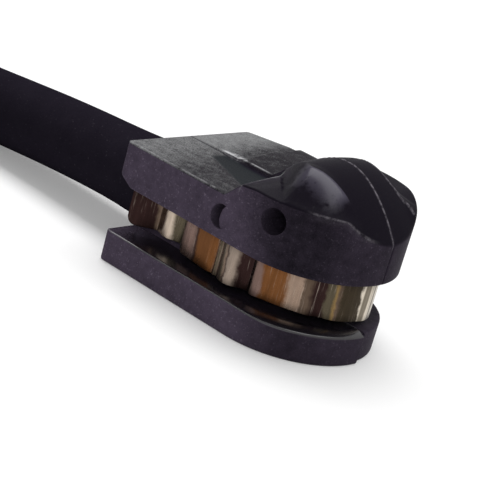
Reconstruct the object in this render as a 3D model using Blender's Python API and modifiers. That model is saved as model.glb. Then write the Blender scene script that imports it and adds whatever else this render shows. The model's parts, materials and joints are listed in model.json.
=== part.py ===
"""A brake pad wear sensor: a moulded head with a wavy spring strip in its side groove,
a contact wire under the hump, and a two-core lead that ends in a two-pin plug.

The nose points along +X and the foot stands on z = 0, centred on the origin.
Lengths are in metres.
"""

import math

import bmesh
import bpy
from mathutils import Matrix, Vector

# Head outline
HEAD_LENGTH = 0.01565
HEAD_WIDTH = 0.0108
FOOT_THICKNESS = 0.0019
GROOVE_HEIGHT = 0.00296
WEB_WIDTH = 0.0056
REAR_CHAMFER_LENGTH = 0.0011
REAR_CHAMFER_HEIGHT = 0.0006

# Head top: a deck behind, a shoulder in front, and a hump along the middle.
# The far half of the mould sits higher than the near half.
DECK_THICKNESS = 0.00256
DECK_RAMP_RISE = 0.00033
DECK_RAMP_LENGTH = 0.0035
FAR_HALF_RAISE = 0.0005
SEAM_STEP = 0.3
SHOULDER_RISE = 0.00106
STEP_FROM_REAR = 0.0065
STEP_LENGTH = 0.00165
STEP_SWEEP = 0.0012
HUMP_FROM_REAR = 0.0070
APEX_FROM_REAR = 0.0113
HUMP_RISE = 0.00293
NOSE_WALL_HEIGHT = 0.0024
CREST_WIDTH = 0.0046
CREST_CROWN = 0.00015
HUMP_SPREAD = 1.18
FRONT_CURVE = 1.9
FLANK_CURVE = 1.5
FAR_FLANK_WIDTH = 0.0012

# Pin holes in the near wall
PIN_HOLE_DIAMETER = 0.0015
PIN_HOLE_FROM_REAR = 0.01125
PIN_HOLE_HEIGHT = 0.0073
FILLED_HOLE_DIAMETER = 0.0014
FILLED_HOLE_FROM_REAR = 0.00785
FILLED_HOLE_HEIGHT = 0.00612
FILLED_HOLE_DEPTH = 0.00035

# Spring strip
STRIP_THICKNESS = 0.00025
STRIP_LIFT = 0.0006

# Lead
CABLE_DIAMETER = 0.0048
CABLE_EXIT_HEIGHT = 0.00382
CORE_DIAMETER = 0.0016
CORE_SPACING = 0.0021
CRIMP_DIAMETER = 0.0019
CRIMP_LENGTH = 0.0022
CRIMP_FROM_REAR = 0.0060
LOOP_WIRE_DIAMETER = 0.0008
LOOP_NOSE_INSET = 0.0032
LOOP_DEPTH = 0.0021

# Coil of spare lead
COIL_CENTRE = (-0.0479, -0.0295)
COIL_TURN_RADIUS = 0.0250
COIL_TURNS_WIDE = 3
LAYER_PITCH = 0.0044
TIE_WIDTH = 0.0040
TIE_THICKNESS = 0.0005
TIE_ANGLE = 150.0
TIE_TAIL_LENGTH = 0.0075

# Plug
PLUG_REAR = -0.0219
PLUG_WIDTH = 0.0130
PLUG_HEIGHT = 0.0122
PLUG_BLOCK_LENGTH = 0.0190
PLUG_WALL = 0.0016
SOCKET_DEPTH = 0.0110
BULKHEAD_THICKNESS = 0.0020
SPIGOT_DIAMETER = 0.0102
SPIGOT_LENGTH = 0.0052
SPIGOT_WALL = 0.0009
CAP_DIAMETER = 0.0122
CAP_END_THICKNESS = 0.0013
CAP_LENGTH = 0.0048
SEAL_LENGTH = 0.0042
PIN_DIAMETER = 0.0015
PIN_PITCH = 0.0044
PIN_REACH = 0.0088
BARREL_LENGTH = 0.0024
LOCK_THICKNESS = 0.0016
LATCH_SIZE = (0.0030, 0.0042, 0.0011)
KEY_SIZE = (0.0090, 0.0008, 0.0012)
CORNER_RADIUS = 0.0016

# Clearance between touching pieces
GAP = 0.0003

REAR = -HEAD_LENGTH / 2
NOSE = HEAD_LENGTH / 2
HALF_WIDTH = HEAD_WIDTH / 2
UPPER_FLOOR = FOOT_THICKNESS + GROOVE_HEIGHT
DECK = UPPER_FLOOR + DECK_THICKNESS
SHOULDER = DECK + SHOULDER_RISE
APEX = DECK + HUMP_RISE
NOSE_TOP = UPPER_FLOOR + NOSE_WALL_HEIGHT
HUMP_START = REAR + HUMP_FROM_REAR
APEX_X = REAR + APEX_FROM_REAR
CABLE_RADIUS = CABLE_DIAMETER / 2
PLUG_AXIS = (COIL_CENTRE[1] - COIL_TURN_RADIUS - CABLE_RADIUS, PLUG_HEIGHT / 2)

# Route of the lead from the head to the coil, and from the coil to the plug
LEAD_ROUTE = [
    (REAR - GAP, 0.0, CABLE_EXIT_HEIGHT),
    (-0.0110, 0.0001, 0.00362),
    (-0.0150, 0.0003, 0.00333),
    (-0.0190, 0.0005, 0.00300),
    (-0.0230, 0.0006, 0.00268),
    (-0.0270, 0.0005, 0.00247),
    (-0.0302, 0.0004, 0.00241),
]
TAIL_ROUTE = [
    (-0.0274, -0.0569, 0.00655),
    (-0.0250, -0.0569, 0.00632),
    (-0.0215, -0.0569, 0.00612),
    (-0.0165, -0.0569, 0.00610),
]
ROUTE_STEP = 2.2


def clear_scene():
    for thing in list(bpy.data.objects):
        bpy.data.objects.remove(thing, do_unlink=True)


def new_collection(name):
    made = bpy.data.collections.new(name)
    bpy.context.scene.collection.children.link(made)
    return made


clear_scene()
PARTS = new_collection("brake_pad_wear_sensor")
CUTTERS = new_collection("cutters")


def finish(name, color, roughness, metallic=0.0):
    made = bpy.data.materials.new(name)
    made.use_nodes = True
    shader = made.node_tree.nodes["Principled BSDF"]
    shader.inputs["Base Color"].default_value = (*color, 1.0)
    shader.inputs["Roughness"].default_value = roughness
    shader.inputs["Metallic"].default_value = metallic
    made.diffuse_color = (*color, 1.0)
    return made


MOULDED = finish("moulded_black_plastic", (0.045, 0.04, 0.05), 0.45)
SHEATH = finish("black_cable_sheath", (0.012, 0.011, 0.014), 0.5)
BRONZE = finish("spring_bronze", (0.42, 0.26, 0.14), 0.3, 1.0)
TINNED = finish("tinned_copper", (0.6, 0.57, 0.52), 0.3, 1.0)
COPPER = finish("bare_copper", (0.72, 0.38, 0.2), 0.3, 1.0)
CORE_BROWN = finish("brown_core", (0.16, 0.07, 0.035), 0.45)
CORE_GREY = finish("grey_core", (0.25, 0.25, 0.26), 0.45)
PLUG_PLASTIC = finish("plug_black_plastic", (0.03, 0.03, 0.033), 0.5)
RUBBER = finish("seal_rubber", (0.3, 0.09, 0.05), 0.65)
LOCK_PLASTIC = finish("lock_plastic", (0.5, 0.5, 0.48), 0.45)


def add_object(name, mesh, material, cutter=False):
    made = bpy.data.objects.new(name, mesh)
    (CUTTERS if cutter else PARTS).objects.link(made)
    if material:
        mesh.materials.append(material)
    if cutter:
        made.hide_render = True
        made.display_type = "WIRE"
    return made


def from_bmesh(name, bm, material=None, cutter=False, smooth=False):
    bmesh.ops.recalc_face_normals(bm, faces=bm.faces)
    mesh = bpy.data.meshes.new(name)
    bm.to_mesh(mesh)
    bm.free()
    if smooth:
        mesh.shade_smooth()
        mesh.set_sharp_from_angle(angle=math.radians(40))
    return add_object(name, mesh, material, cutter)


def combine(target, other, operation):
    change = target.modifiers.new(f"{operation.lower()}_{other.name}", "BOOLEAN")
    change.operation = operation
    change.object = other
    change.solver = "EXACT"


def settle(target):
    """Applies the modifiers, so that later cuts meet a plain mesh."""
    evaluated = target.evaluated_get(bpy.context.evaluated_depsgraph_get())
    mesh = bpy.data.meshes.new_from_object(evaluated)
    target.modifiers.clear()
    target.data = mesh


def smooth_route(points, spacing):
    """Points spaced along a Catmull-Rom curve through the route's own points."""
    ends = [Vector(p) for p in points]
    ends = [2 * ends[0] - ends[1], *ends, 2 * ends[-1] - ends[-2]]
    dense = []
    for a, b, c, d in zip(ends, ends[1:], ends[2:], ends[3:]):
        for step in range(12):
            t = step / 12
            dense.append(
                0.5 * (2 * b + (c - a) * t + (2 * a - 5 * b + 4 * c - d) * t * t
                       + (3 * b - a - 3 * c + d) * t**3)
            )
    dense.append(ends[-2])
    lengths = [0.0]
    for a, b in zip(dense, dense[1:]):
        lengths.append(lengths[-1] + (b - a).length)
    count = max(2, round(lengths[-1] / spacing))
    kept, at = [], 0
    for i in range(count + 1):
        wanted = lengths[-1] * i / count
        while at < len(lengths) - 2 and lengths[at + 1] < wanted:
            at += 1
        share = (wanted - lengths[at]) / (lengths[at + 1] - lengths[at])
        kept.append(dense[at].lerp(dense[at + 1], share))
    return kept


def tube(name, points, diameter, material=None, resolution=2, cutter=False):
    """A round wire or lead with closed ends, as a plain mesh."""
    curve = bpy.data.curves.new(name, "CURVE")
    curve.dimensions = "3D"
    curve.bevel_depth = diameter / 2
    curve.bevel_resolution = resolution
    curve.use_fill_caps = True
    spline = curve.splines.new("POLY")
    spline.points.add(len(points) - 1)
    for place, point in zip(spline.points, points):
        place.co = (*point, 1.0)
    if not cutter:
        return add_object(name, curve, material)
    guide = add_object(name + "_guide", curve, None, cutter=True)
    evaluated = guide.evaluated_get(bpy.context.evaluated_depsgraph_get())
    mesh = bpy.data.meshes.new_from_object(evaluated)
    bm = bmesh.new()
    bm.from_mesh(mesh)
    bmesh.ops.remove_doubles(bm, verts=bm.verts, dist=1e-6)
    bpy.data.objects.remove(guide, do_unlink=True)
    return from_bmesh(name, bm, None, cutter=True)


def turned(name, profile, axis_point, material, steps=32, cutter=False):
    """A ring turned about an axis along +X; the profile is (along, radius) points."""
    bm = bmesh.new()
    points = [bm.verts.new((along, radius, 0.0)) for along, radius in profile]
    edges = [bm.edges.new((a, b)) for a, b in zip(points, points[1:] + points[:1])]
    bmesh.ops.spin(
        bm, geom=points + edges, cent=(0, 0, 0), axis=(1, 0, 0),
        angle=math.tau, steps=steps, use_merge=True,
    )
    bmesh.ops.remove_doubles(bm, verts=bm.verts, dist=1e-7)
    bmesh.ops.translate(bm, verts=bm.verts, vec=axis_point)
    return from_bmesh(name, bm, material, cutter, smooth=True)


def rod(name, start, end, diameter, material=None, sides=20, cutter=False):
    """A straight round pin or drill between two points."""
    start, end = Vector(start), Vector(end)
    turn = (end - start).to_track_quat("Z", "Y").to_matrix().to_4x4()
    bm = bmesh.new()
    bmesh.ops.create_cone(
        bm, cap_ends=True, segments=sides, radius1=diameter / 2, radius2=diameter / 2,
        depth=(end - start).length, matrix=Matrix.Translation((start + end) / 2) @ turn,
    )
    return from_bmesh(name, bm, material, cutter, smooth=True)


def block(name, low, high, material=None, radius=0.0, axis=None, cutter=False):
    """A box between two corners, its edges along one axis rounded."""
    low, high = Vector(low), Vector(high)
    bm = bmesh.new()
    bmesh.ops.create_cube(bm, size=1.0)
    bmesh.ops.scale(bm, vec=high - low, verts=bm.verts)
    bmesh.ops.translate(bm, vec=(low + high) / 2, verts=bm.verts)
    if radius:
        along = [
            e for e in bm.edges
            if abs((e.verts[0].co - e.verts[1].co)[axis]) > 0.5 * (high - low)[axis]
        ]
        bmesh.ops.bevel(
            bm, geom=along, offset=radius, segments=4, affect="EDGES", profile=0.5
        )
    return from_bmesh(name, bm, material, cutter)


def prism(name, outline, near, far, cutter=False):
    """A prism along Y with a side outline of (x, z) points."""
    bm = bmesh.new()
    side = bm.faces.new([bm.verts.new((x, near, z)) for x, z in outline])
    made = bmesh.ops.extrude_face_region(bm, geom=[side], use_keep_orig=True)
    moved = [v for v in made["geom"] if isinstance(v, bmesh.types.BMVert)]
    bmesh.ops.translate(bm, vec=(0, far - near, 0), verts=moved)
    return from_bmesh(name, bm, None, cutter)


def half_at(x, half_width, nose):
    """Half the width of a plan outline with straight sides and a round nose."""
    past = x - (nose - half_width)
    return half_width if past <= 0 else math.sqrt(max(half_width**2 - past**2, 0.0))


def plan_slab(name, half_width, nose, low, high, rows, columns, flat_to=85.0):
    """A slab with the head's plan outline between two height functions of x and y."""
    centre = nose - half_width
    straight = (centre - REAR) / (centre - REAR + 1.2 * half_width)
    bm = bmesh.new()
    bmesh.ops.create_grid(bm, x_segments=rows, y_segments=columns, size=0.5)
    places = {}
    for v in bm.verts:
        u, t = v.co.x + 0.5, 2 * v.co.y
        if u < straight:
            x = REAR + (centre - REAR) * u / straight
        else:
            turn = math.radians(flat_to) * (u - straight) / (1 - straight)
            x = centre + half_width * math.sin(turn)
        y = math.copysign(abs(t) ** 1.3, t) * half_at(x, half_width, nose)
        places[v.index] = (x, y)
        v.co = (x, y, high(x, y))
    made = bmesh.ops.extrude_face_region(bm, geom=bm.faces[:], use_keep_orig=True)
    for v in made["geom"]:
        if isinstance(v, bmesh.types.BMVert):
            v.co.z = low(v.co.x, v.co.y)
    bmesh.ops.dissolve_limit(
        bm, angle_limit=math.radians(0.1), verts=bm.verts, edges=bm.edges
    )
    return from_bmesh(name, bm, MOULDED, smooth=True)


def ridge(x):
    """Height of the hump along the middle of the head."""
    if x < APEX_X:
        share = (APEX_X - x) / (APEX_X - HUMP_START)
        return APEX - HUMP_RISE * share**2
    share = (x - APEX_X) / (NOSE - APEX_X)
    return APEX - (APEX - NOSE_TOP) * share**FRONT_CURVE


def deck_level(x, y, far):
    """Height of the deck; its far half climbs towards the nose and towards its outer edge."""
    if not far:
        return DECK
    ramp = min((x - REAR) / DECK_RAMP_LENGTH, 1.0) * DECK_RAMP_RISE
    climb = ramp if x < REAR + 1.15 * DECK_RAMP_LENGTH else FAR_HALF_RAISE
    return DECK + climb * (SEAM_STEP + (1 - SEAM_STEP) * min(2 * y / HALF_WIDTH, 1.0))


def shoulder_level(x, far):
    droop = 0.28 * max(x - (NOSE - 0.6 * HALF_WIDTH), 0.0) if far else 0.0
    return SHOULDER + (FAR_HALF_RAISE if far else 0.0) - droop


def head_top(x, y):
    """Height of the head's upper face."""
    far, aside = y > -1e-7, abs(y)
    level = shoulder_level(x, far)
    crest = ridge(x)
    spread = max(HUMP_SPREAD * (x - HUMP_START), 1e-6)
    inner = min(CREST_WIDTH / 2, 0.55 * spread)
    outer = min(spread, half_at(x, HALF_WIDTH, NOSE) + 1e-5)
    if far:
        outer = min(outer, inner + FAR_FLANK_WIDTH)
    crest -= CREST_CROWN * min(aside / (CREST_WIDTH / 2), 1.0) ** 2
    if aside > inner and crest > level:
        share = min((aside - inner) / max(outer - inner, 1e-6), 1.0)
        crest -= (crest - level) * share**FLANK_CURVE
    if x > APEX_X:
        return crest
    sweep = STEP_SWEEP * (aside / HALF_WIDTH) ** 1.5
    rise = (x - REAR - STEP_FROM_REAR - sweep) / (STEP_LENGTH - 0.5 * sweep)
    rise = min(max(rise, 0.0), 1.0)
    base = deck_level(x, y, far) * (1 - rise) + level * rise
    return max(base, crest) if x > HUMP_START and aside < spread else base


def loop_points():
    """The contact wire: two legs rising from the crimps, joined by a bend under the hump."""
    half = CORE_SPACING / 2
    start = REAR + CRIMP_FROM_REAR + CRIMP_LENGTH + GAP
    end = NOSE - LOOP_NOSE_INSET
    rise_to = APEX_X - 0.0006
    top = APEX - LOOP_DEPTH
    leg = [
        (start, CABLE_EXIT_HEIGHT),
        (start + 0.25 * (rise_to - start), CABLE_EXIT_HEIGHT + 0.35 * (top - CABLE_EXIT_HEIGHT)),
        (start + 0.6 * (rise_to - start), CABLE_EXIT_HEIGHT + 0.8 * (top - CABLE_EXIT_HEIGHT)),
        (rise_to, top),
    ]
    points = [(x, -half, z) for x, z in leg]
    for k in range(1, 8):
        turn = math.radians(-90 + 180 * k / 8)
        points.append((end - half + half * math.cos(turn), half * math.sin(turn), top))
    return points + [(x, half, z) for x, z in reversed(leg)]


def make_wires():
    """Core wires, crimps and the contact loop, and the drills that make room for them."""
    drills = []
    for side, name, material in ((-1, "near", CORE_BROWN), (1, "far", CORE_GREY)):
        y = side * CORE_SPACING / 2
        crimp = REAR + CRIMP_FROM_REAR
        core = [(REAR + 0.0001, y, CABLE_EXIT_HEIGHT), (crimp - GAP, y, CABLE_EXIT_HEIGHT)]
        rod(f"head_core_{name}", *core, CORE_DIAMETER, material, sides=16)
        sleeve = [(crimp, y, CABLE_EXIT_HEIGHT), (crimp + CRIMP_LENGTH, y, CABLE_EXIT_HEIGHT)]
        made = rod(f"crimp_sleeve_{name}", *sleeve, CRIMP_DIAMETER, TINNED, sides=16)
        soften = made.modifiers.new("rounded_ends", "BEVEL")
        soften.width = 0.0002
        soften.segments = 2
    half = CORE_SPACING / 2 + max(CORE_DIAMETER, CRIMP_DIAMETER) / 2 + GAP
    tall = max(CORE_DIAMETER, CRIMP_DIAMETER) / 2 + GAP
    end = REAR + CRIMP_FROM_REAR + CRIMP_LENGTH + 2 * GAP
    drills.append(
        block(
            "core_slot", (REAR - 0.001, -half, CABLE_EXIT_HEIGHT - tall),
            (end, half, CABLE_EXIT_HEIGHT + tall), radius=0.9 * tall, axis=0, cutter=True,
        )
    )
    path = loop_points()
    tube("contact_loop", path, LOOP_WIRE_DIAMETER, COPPER)
    first, last = Vector(path[0]), Vector(path[-1])
    back = Vector((0.5 * CRIMP_LENGTH, 0.0, 0.0))
    longer = [first - back, *path, last - back]
    drills.append(
        tube("loop_channel", longer, LOOP_WIRE_DIAMETER + 2 * GAP, cutter=True)
    )
    return drills


def make_head():
    """The one-piece moulding: foot, web and upper body, with its wire room and pin holes."""
    body = plan_slab(
        "sensor_body", HALF_WIDTH, NOSE, lambda x, y: UPPER_FLOOR, head_top, rows=60, columns=26
    )
    low, high = UPPER_FLOOR - 0.0005, UPPER_FLOOR + REAR_CHAMFER_HEIGHT
    chamfer = prism(
        "rear_chamfer",
        [(REAR - 0.001, low), (REAR + REAR_CHAMFER_LENGTH, low),
         (REAR + REAR_CHAMFER_LENGTH, UPPER_FLOOR), (REAR, high), (REAR - 0.001, high)],
        -HEAD_WIDTH, HEAD_WIDTH, cutter=True,
    )
    combine(body, chamfer, "DIFFERENCE")
    web = plan_slab(
        "web", WEB_WIDTH / 2, NOSE - HALF_WIDTH + WEB_WIDTH / 2,
        lambda x, y: 0.5 * FOOT_THICKNESS, lambda x, y: UPPER_FLOOR + 0.5 * DECK_THICKNESS,
        rows=16, columns=2,
    )
    foot = plan_slab(
        "foot", HALF_WIDTH, NOSE, lambda x, y: 0.0, lambda x, y: FOOT_THICKNESS,
        rows=28, columns=2,
    )
    for piece in (web, foot):
        PARTS.objects.unlink(piece)
        CUTTERS.objects.link(piece)
        piece.hide_render = True
        piece.display_type = "WIRE"
        combine(body, piece, "UNION")
    settle(body)
    hole_end = -0.5 * CORE_SPACING - 0.3 * LOOP_WIRE_DIAMETER
    x = REAR + PIN_HOLE_FROM_REAR
    drills = make_wires()
    drills.append(
        rod(
            "pin_hole", (x, -HALF_WIDTH - 0.001, PIN_HOLE_HEIGHT), (x, hole_end, PIN_HOLE_HEIGHT),
            PIN_HOLE_DIAMETER, cutter=True,
        )
    )
    x = REAR + FILLED_HOLE_FROM_REAR
    drills.append(
        rod(
            "filled_hole", (x, -HALF_WIDTH - 0.001, FILLED_HOLE_HEIGHT),
            (x, -HALF_WIDTH + FILLED_HOLE_DEPTH, FILLED_HOLE_HEIGHT),
            FILLED_HOLE_DIAMETER, cutter=True,
        )
    )
    for drill in drills:
        combine(body, drill, "DIFFERENCE")
    return body


def strip_offsets():
    """How far the spring strip stands off the web: (share of the way to the nose, offset).

    It starts with an end that flares outwards.
    """
    return [
        (0.04, 1.65), (0.065, 1.40), (0.095, 0.95), (0.12, 0.60), (0.14, 0.60), (0.17, 0.75),
        (0.19, 0.75), (0.21, 0.60), (0.23, 0.50), (0.25, 0.55), (0.265, 0.90), (0.30, 1.00),
        (0.34, 1.10), (0.40, 1.20), (0.44, 1.10), (0.465, 1.20), (0.50, 1.45), (0.53, 1.35),
        (0.555, 1.05), (0.58, 0.90), (0.60, 0.92), (0.66, 0.75), (0.70, 0.90), (0.79, 0.80),
        (0.84, 0.85), (0.89, 1.15), (0.94, 1.45), (1.0, 1.60),
    ]


def strip_path():
    """The strip's middle line in plan, from the near rear round the nose to the far rear."""
    centre = NOSE - HALF_WIDTH
    half_web = WEB_WIDTH / 2
    run = centre - REAR
    arc = 0.5 * math.pi * half_web * 1.5
    near = []
    for share, offset in strip_offsets():
        way = share * (run + arc)
        out = half_web + GAP + STRIP_THICKNESS / 2 + 0.001 * (offset - 0.5)
        if way < run:
            near.append((REAR + way, -out))
        else:
            turn = 0.5 * math.pi * (way - run) / arc
            near.append((centre + out * math.sin(turn), -out * math.cos(turn)))
    return near + [(x, -y) for x, y in reversed(near[:-1])]


def make_spring():
    bottom = FOOT_THICKNESS + GAP
    top = UPPER_FLOOR - GAP
    bm = bmesh.new()
    line = [bm.verts.new((x, y, bottom)) for x, y in strip_path()]
    edges = [bm.edges.new((a, b)) for a, b in zip(line, line[1:])]
    made = bmesh.ops.extrude_edge_only(bm, edges=edges)
    rise = [v for v in made["geom"] if isinstance(v, bmesh.types.BMVert)]
    bmesh.ops.translate(bm, vec=(0, 0, top - bottom), verts=rise)
    strip = from_bmesh("retaining_spring", bm, BRONZE)
    wall = strip.modifiers.new("strip_thickness", "SOLIDIFY")
    wall.thickness = STRIP_THICKNESS
    wall.offset = 0.0
    wall.use_even_offset = True
    return strip


def make_lead():
    spacing = ROUTE_STEP * CABLE_DIAMETER
    tube("cable", smooth_route(LEAD_ROUTE, spacing), CABLE_DIAMETER, SHEATH, 4)
    tube("cable_tail", smooth_route(TAIL_ROUTE, spacing), CABLE_DIAMETER, SHEATH, 4)


def coil_section():
    """The coil's section as (inner radius, outer radius, height)."""
    half = COIL_TURNS_WIDE * CABLE_RADIUS
    return COIL_TURN_RADIUS - half, COIL_TURN_RADIUS + half, LAYER_PITCH + CABLE_DIAMETER


def make_coil():
    inner, outer, height = coil_section()
    corner = 0.75 * CABLE_RADIUS
    bm = bmesh.new()
    outline = []
    for cx, cz, start in (
        (outer - corner, height - corner, 0), (inner + corner, height - corner, 90),
        (inner + corner, corner, 180), (outer - corner, corner, 270),
    ):
        for k in range(5):
            turn = math.radians(start + 22.5 * k)
            outline.append(
                bm.verts.new((cx + corner * math.cos(turn), 0, cz + corner * math.sin(turn)))
            )
    edges = [bm.edges.new((a, b)) for a, b in zip(outline, outline[1:] + outline[:1])]
    bmesh.ops.spin(
        bm, geom=outline + edges, cent=(0, 0, 0), axis=(0, 0, 1),
        angle=math.tau, steps=48, use_merge=True,
    )
    bmesh.ops.remove_doubles(bm, verts=bm.verts, dist=1e-7)
    bmesh.ops.translate(bm, vec=(*COIL_CENTRE, 0), verts=bm.verts)
    coil = from_bmesh("cable_coil", bm, SHEATH, smooth=True)
    inner_edge = (inner, TIE_THICKNESS + GAP)
    outer_edge = (outer, height - TIE_THICKNESS - GAP)
    for name, low, high in (
        ("notch_below", -0.001, inner_edge[1]), ("notch_above", outer_edge[1], height + 0.001),
    ):
        notch = block(
            name, (inner - 0.002, -TIE_WIDTH / 2 - GAP, low),
            (outer + 0.002, TIE_WIDTH / 2 + GAP, high), cutter=True,
        )
        place_on_coil(notch)
        combine(coil, notch, "DIFFERENCE")
    return coil


def place_on_coil(thing):
    """Moves a piece made at the ring's +X side to the tie's place on the coil."""
    turn = Matrix.Rotation(math.radians(TIE_ANGLE), 4, "Z")
    thing.data.transform(Matrix.Translation((*COIL_CENTRE, 0)) @ turn)


def make_tie():
    """A flat band round the bundle, with its two ends twisted together outside."""
    inner, outer, height = coil_section()
    spare = GAP + TIE_THICKNESS
    low = (inner - spare, -TIE_WIDTH / 2, 0.0)
    high = (outer + spare, TIE_WIDTH / 2, height)
    band = block("coil_tie", low, high, PLUG_PLASTIC, radius=0.0017, axis=1)
    hole = block(
        "tie_inside", (inner - GAP, -TIE_WIDTH, TIE_THICKNESS),
        (outer + GAP, TIE_WIDTH, height - TIE_THICKNESS), radius=0.0013, axis=1, cutter=True,
    )
    tail = block(
        "tie_tail", (outer + 0.3 * spare, -0.5 * TIE_THICKNESS * 2, 0.45 * height),
        (outer + TIE_TAIL_LENGTH, 0.5 * TIE_THICKNESS * 2, 0.45 * height + 0.6 * TIE_WIDTH),
        cutter=True,
    )
    combine(band, hole, "DIFFERENCE")
    combine(band, tail, "UNION")
    settle(band)
    place_on_coil(band)


def make_plug():
    """The plug, its mouth towards +X; its pieces are placed from its rear end."""
    y, z = PLUG_AXIS
    axis = (PLUG_REAR, y, z)
    seal_from = CAP_END_THICKNESS + GAP
    block_from = seal_from + SPIGOT_LENGTH
    block_to = block_from + PLUG_BLOCK_LENGTH
    socket_from = block_to - SOCKET_DEPTH
    bulkhead = socket_from - BULKHEAD_THICKNESS
    bore = SPIGOT_DIAMETER / 2 - SPIGOT_WALL
    hole = CABLE_RADIUS + GAP
    cap_in = SPIGOT_DIAMETER / 2 + GAP
    cap_out = CAP_DIAMETER / 2

    turned(
        "plug_rear_cap",
        [(0, hole), (CAP_END_THICKNESS, hole), (CAP_END_THICKNESS, cap_in), (CAP_LENGTH, cap_in),
         (CAP_LENGTH, cap_out), (0.0008, cap_out), (0, cap_out - 0.0008)],
        axis, PLUG_PLASTIC,
    )
    seal_out, rib = bore - GAP - 0.0003, 0.0003
    lips = []
    for k in range(3):
        middle = seal_from + SEAL_LENGTH * (k + 0.5) / 3
        lips += [(middle - 0.0005, seal_out), (middle, seal_out + rib), (middle + 0.0005, seal_out)]
    turned(
        "cable_seal",
        [(seal_from + SEAL_LENGTH, hole), (seal_from, hole), (seal_from, seal_out), *lips,
         (seal_from + SEAL_LENGTH, seal_out)],
        axis, RUBBER, steps=24,
    )

    body = block(
        "plug_housing", (PLUG_REAR + block_from, y - PLUG_WIDTH / 2, z - PLUG_HEIGHT / 2),
        (PLUG_REAR + block_to, y + PLUG_WIDTH / 2, z + PLUG_HEIGHT / 2),
        PLUG_PLASTIC, radius=CORNER_RADIUS, axis=0,
    )
    spigot = rod(
        "spigot", (PLUG_REAR + seal_from, y, z), (PLUG_REAR + block_from + 0.001, y, z),
        SPIGOT_DIAMETER, sides=32, cutter=True,
    )
    latch_to, top = PLUG_REAR + block_to - 1.2 * LATCH_SIZE[0], z + PLUG_HEIGHT / 2
    latch = prism(
        "latch",
        [(latch_to, z), (latch_to, top + 0.0002), (latch_to - 0.7 * LATCH_SIZE[0],
         top + LATCH_SIZE[2]), (latch_to - LATCH_SIZE[0], top + LATCH_SIZE[2]),
         (latch_to - LATCH_SIZE[0], z)],
        y - LATCH_SIZE[1] / 2, y + LATCH_SIZE[1] / 2, cutter=True,
    )
    adds = [spigot, latch]
    for side in (-1, 1):
        edge = y + side * PLUG_WIDTH / 2
        adds.append(
            block(
                "side_key",
                (PLUG_REAR + block_to - KEY_SIZE[0] - 0.002, edge - KEY_SIZE[1],
                 z - KEY_SIZE[2] / 2),
                (PLUG_REAR + block_to - 0.002, edge + KEY_SIZE[1], z + KEY_SIZE[2] / 2),
                cutter=True,
            )
        )
    for piece in adds:
        combine(body, piece, "UNION")
    cuts = [
        rod(
            "spigot_bore", (PLUG_REAR - 0.001, y, z), (PLUG_REAR + bulkhead, y, z),
            2 * bore, sides=32, cutter=True,
        ),
        block(
            "socket", (PLUG_REAR + socket_from, y - PLUG_WIDTH / 2 + PLUG_WALL,
                       z - PLUG_HEIGHT / 2 + PLUG_WALL),
            (PLUG_REAR + block_to + 0.001, y + PLUG_WIDTH / 2 - PLUG_WALL,
             z + PLUG_HEIGHT / 2 - PLUG_WALL),
            radius=0.6 * CORNER_RADIUS, axis=0, cutter=True,
        ),
    ]
    lock = block(
        "terminal_lock",
        (PLUG_REAR + socket_from + GAP, y - PLUG_WIDTH / 2 + PLUG_WALL + GAP,
         z - PLUG_HEIGHT / 2 + PLUG_WALL + GAP),
        (PLUG_REAR + socket_from + GAP + LOCK_THICKNESS, y + PLUG_WIDTH / 2 - PLUG_WALL - GAP,
         z + PLUG_HEIGHT / 2 - PLUG_WALL - GAP),
        LOCK_PLASTIC, radius=0.5 * CORNER_RADIUS, axis=0,
    )
    core_from = CAP_END_THICKNESS + GAP + SEAL_LENGTH + GAP
    barrel_from = bulkhead - GAP - BARREL_LENGTH
    for side, label, material in ((-1, "near", CORE_BROWN), (1, "far", CORE_GREY)):
        pin_y = y + side * PIN_PITCH / 2
        drill = rod(
            f"pin_passage_{label}", (PLUG_REAR + bulkhead - 0.001, pin_y, z),
            (PLUG_REAR + socket_from + LOCK_THICKNESS + 0.002, pin_y, z),
            PIN_DIAMETER + 2 * GAP, cutter=True,
        )
        cuts.append(drill)
        combine(lock, drill, "DIFFERENCE")
        make_terminal(f"terminal_{label}", pin_y, z, barrel_from, socket_from + PIN_REACH)
        path = [
            (PLUG_REAR + core_from, y + side * CORE_SPACING / 2, z),
            (PLUG_REAR + 0.7 * core_from + 0.3 * barrel_from, y + side * CORE_SPACING / 2, z),
            (PLUG_REAR + 0.3 * core_from + 0.7 * barrel_from, pin_y, z),
            (PLUG_REAR + barrel_from - GAP, pin_y, z),
        ]
        tube(f"plug_core_{label}", path, CORE_DIAMETER, material)
    for cut in cuts:
        combine(body, cut, "DIFFERENCE")


def make_terminal(name, y, z, start, end):
    """A round pin with a crimped barrel behind it and a pointed tip."""
    pin, barrel = PIN_DIAMETER / 2, 0.0012
    shoulder = start + BARREL_LENGTH
    turned(
        name,
        [(start, 0.00002), (start, barrel), (shoulder, barrel), (shoulder, pin),
         (end - 0.0008, pin), (end, 0.35 * pin), (end, 0.00002)],
        (PLUG_REAR, y, z), TINNED, steps=16,
    )


make_head()
make_spring()
make_lead()
make_coil()
make_tie()
make_plug()
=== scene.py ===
"""A brake pad wear sensor in soft studio light: a moulded head with a wavy spring strip
round its groove, on a two-core lead that is coiled out of view and ends in a two-pin plug.

The head, strip and coil, and the sizes named at the top, are in millimetres. place()
turns a point of the head into the frame's metres. The details of the plug and tie, the
materials' grain and the studio are in metres.
"""

import json
import math

import bmesh
import bpy
import numpy as np
from mathutils import Matrix, Vector, noise


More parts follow.
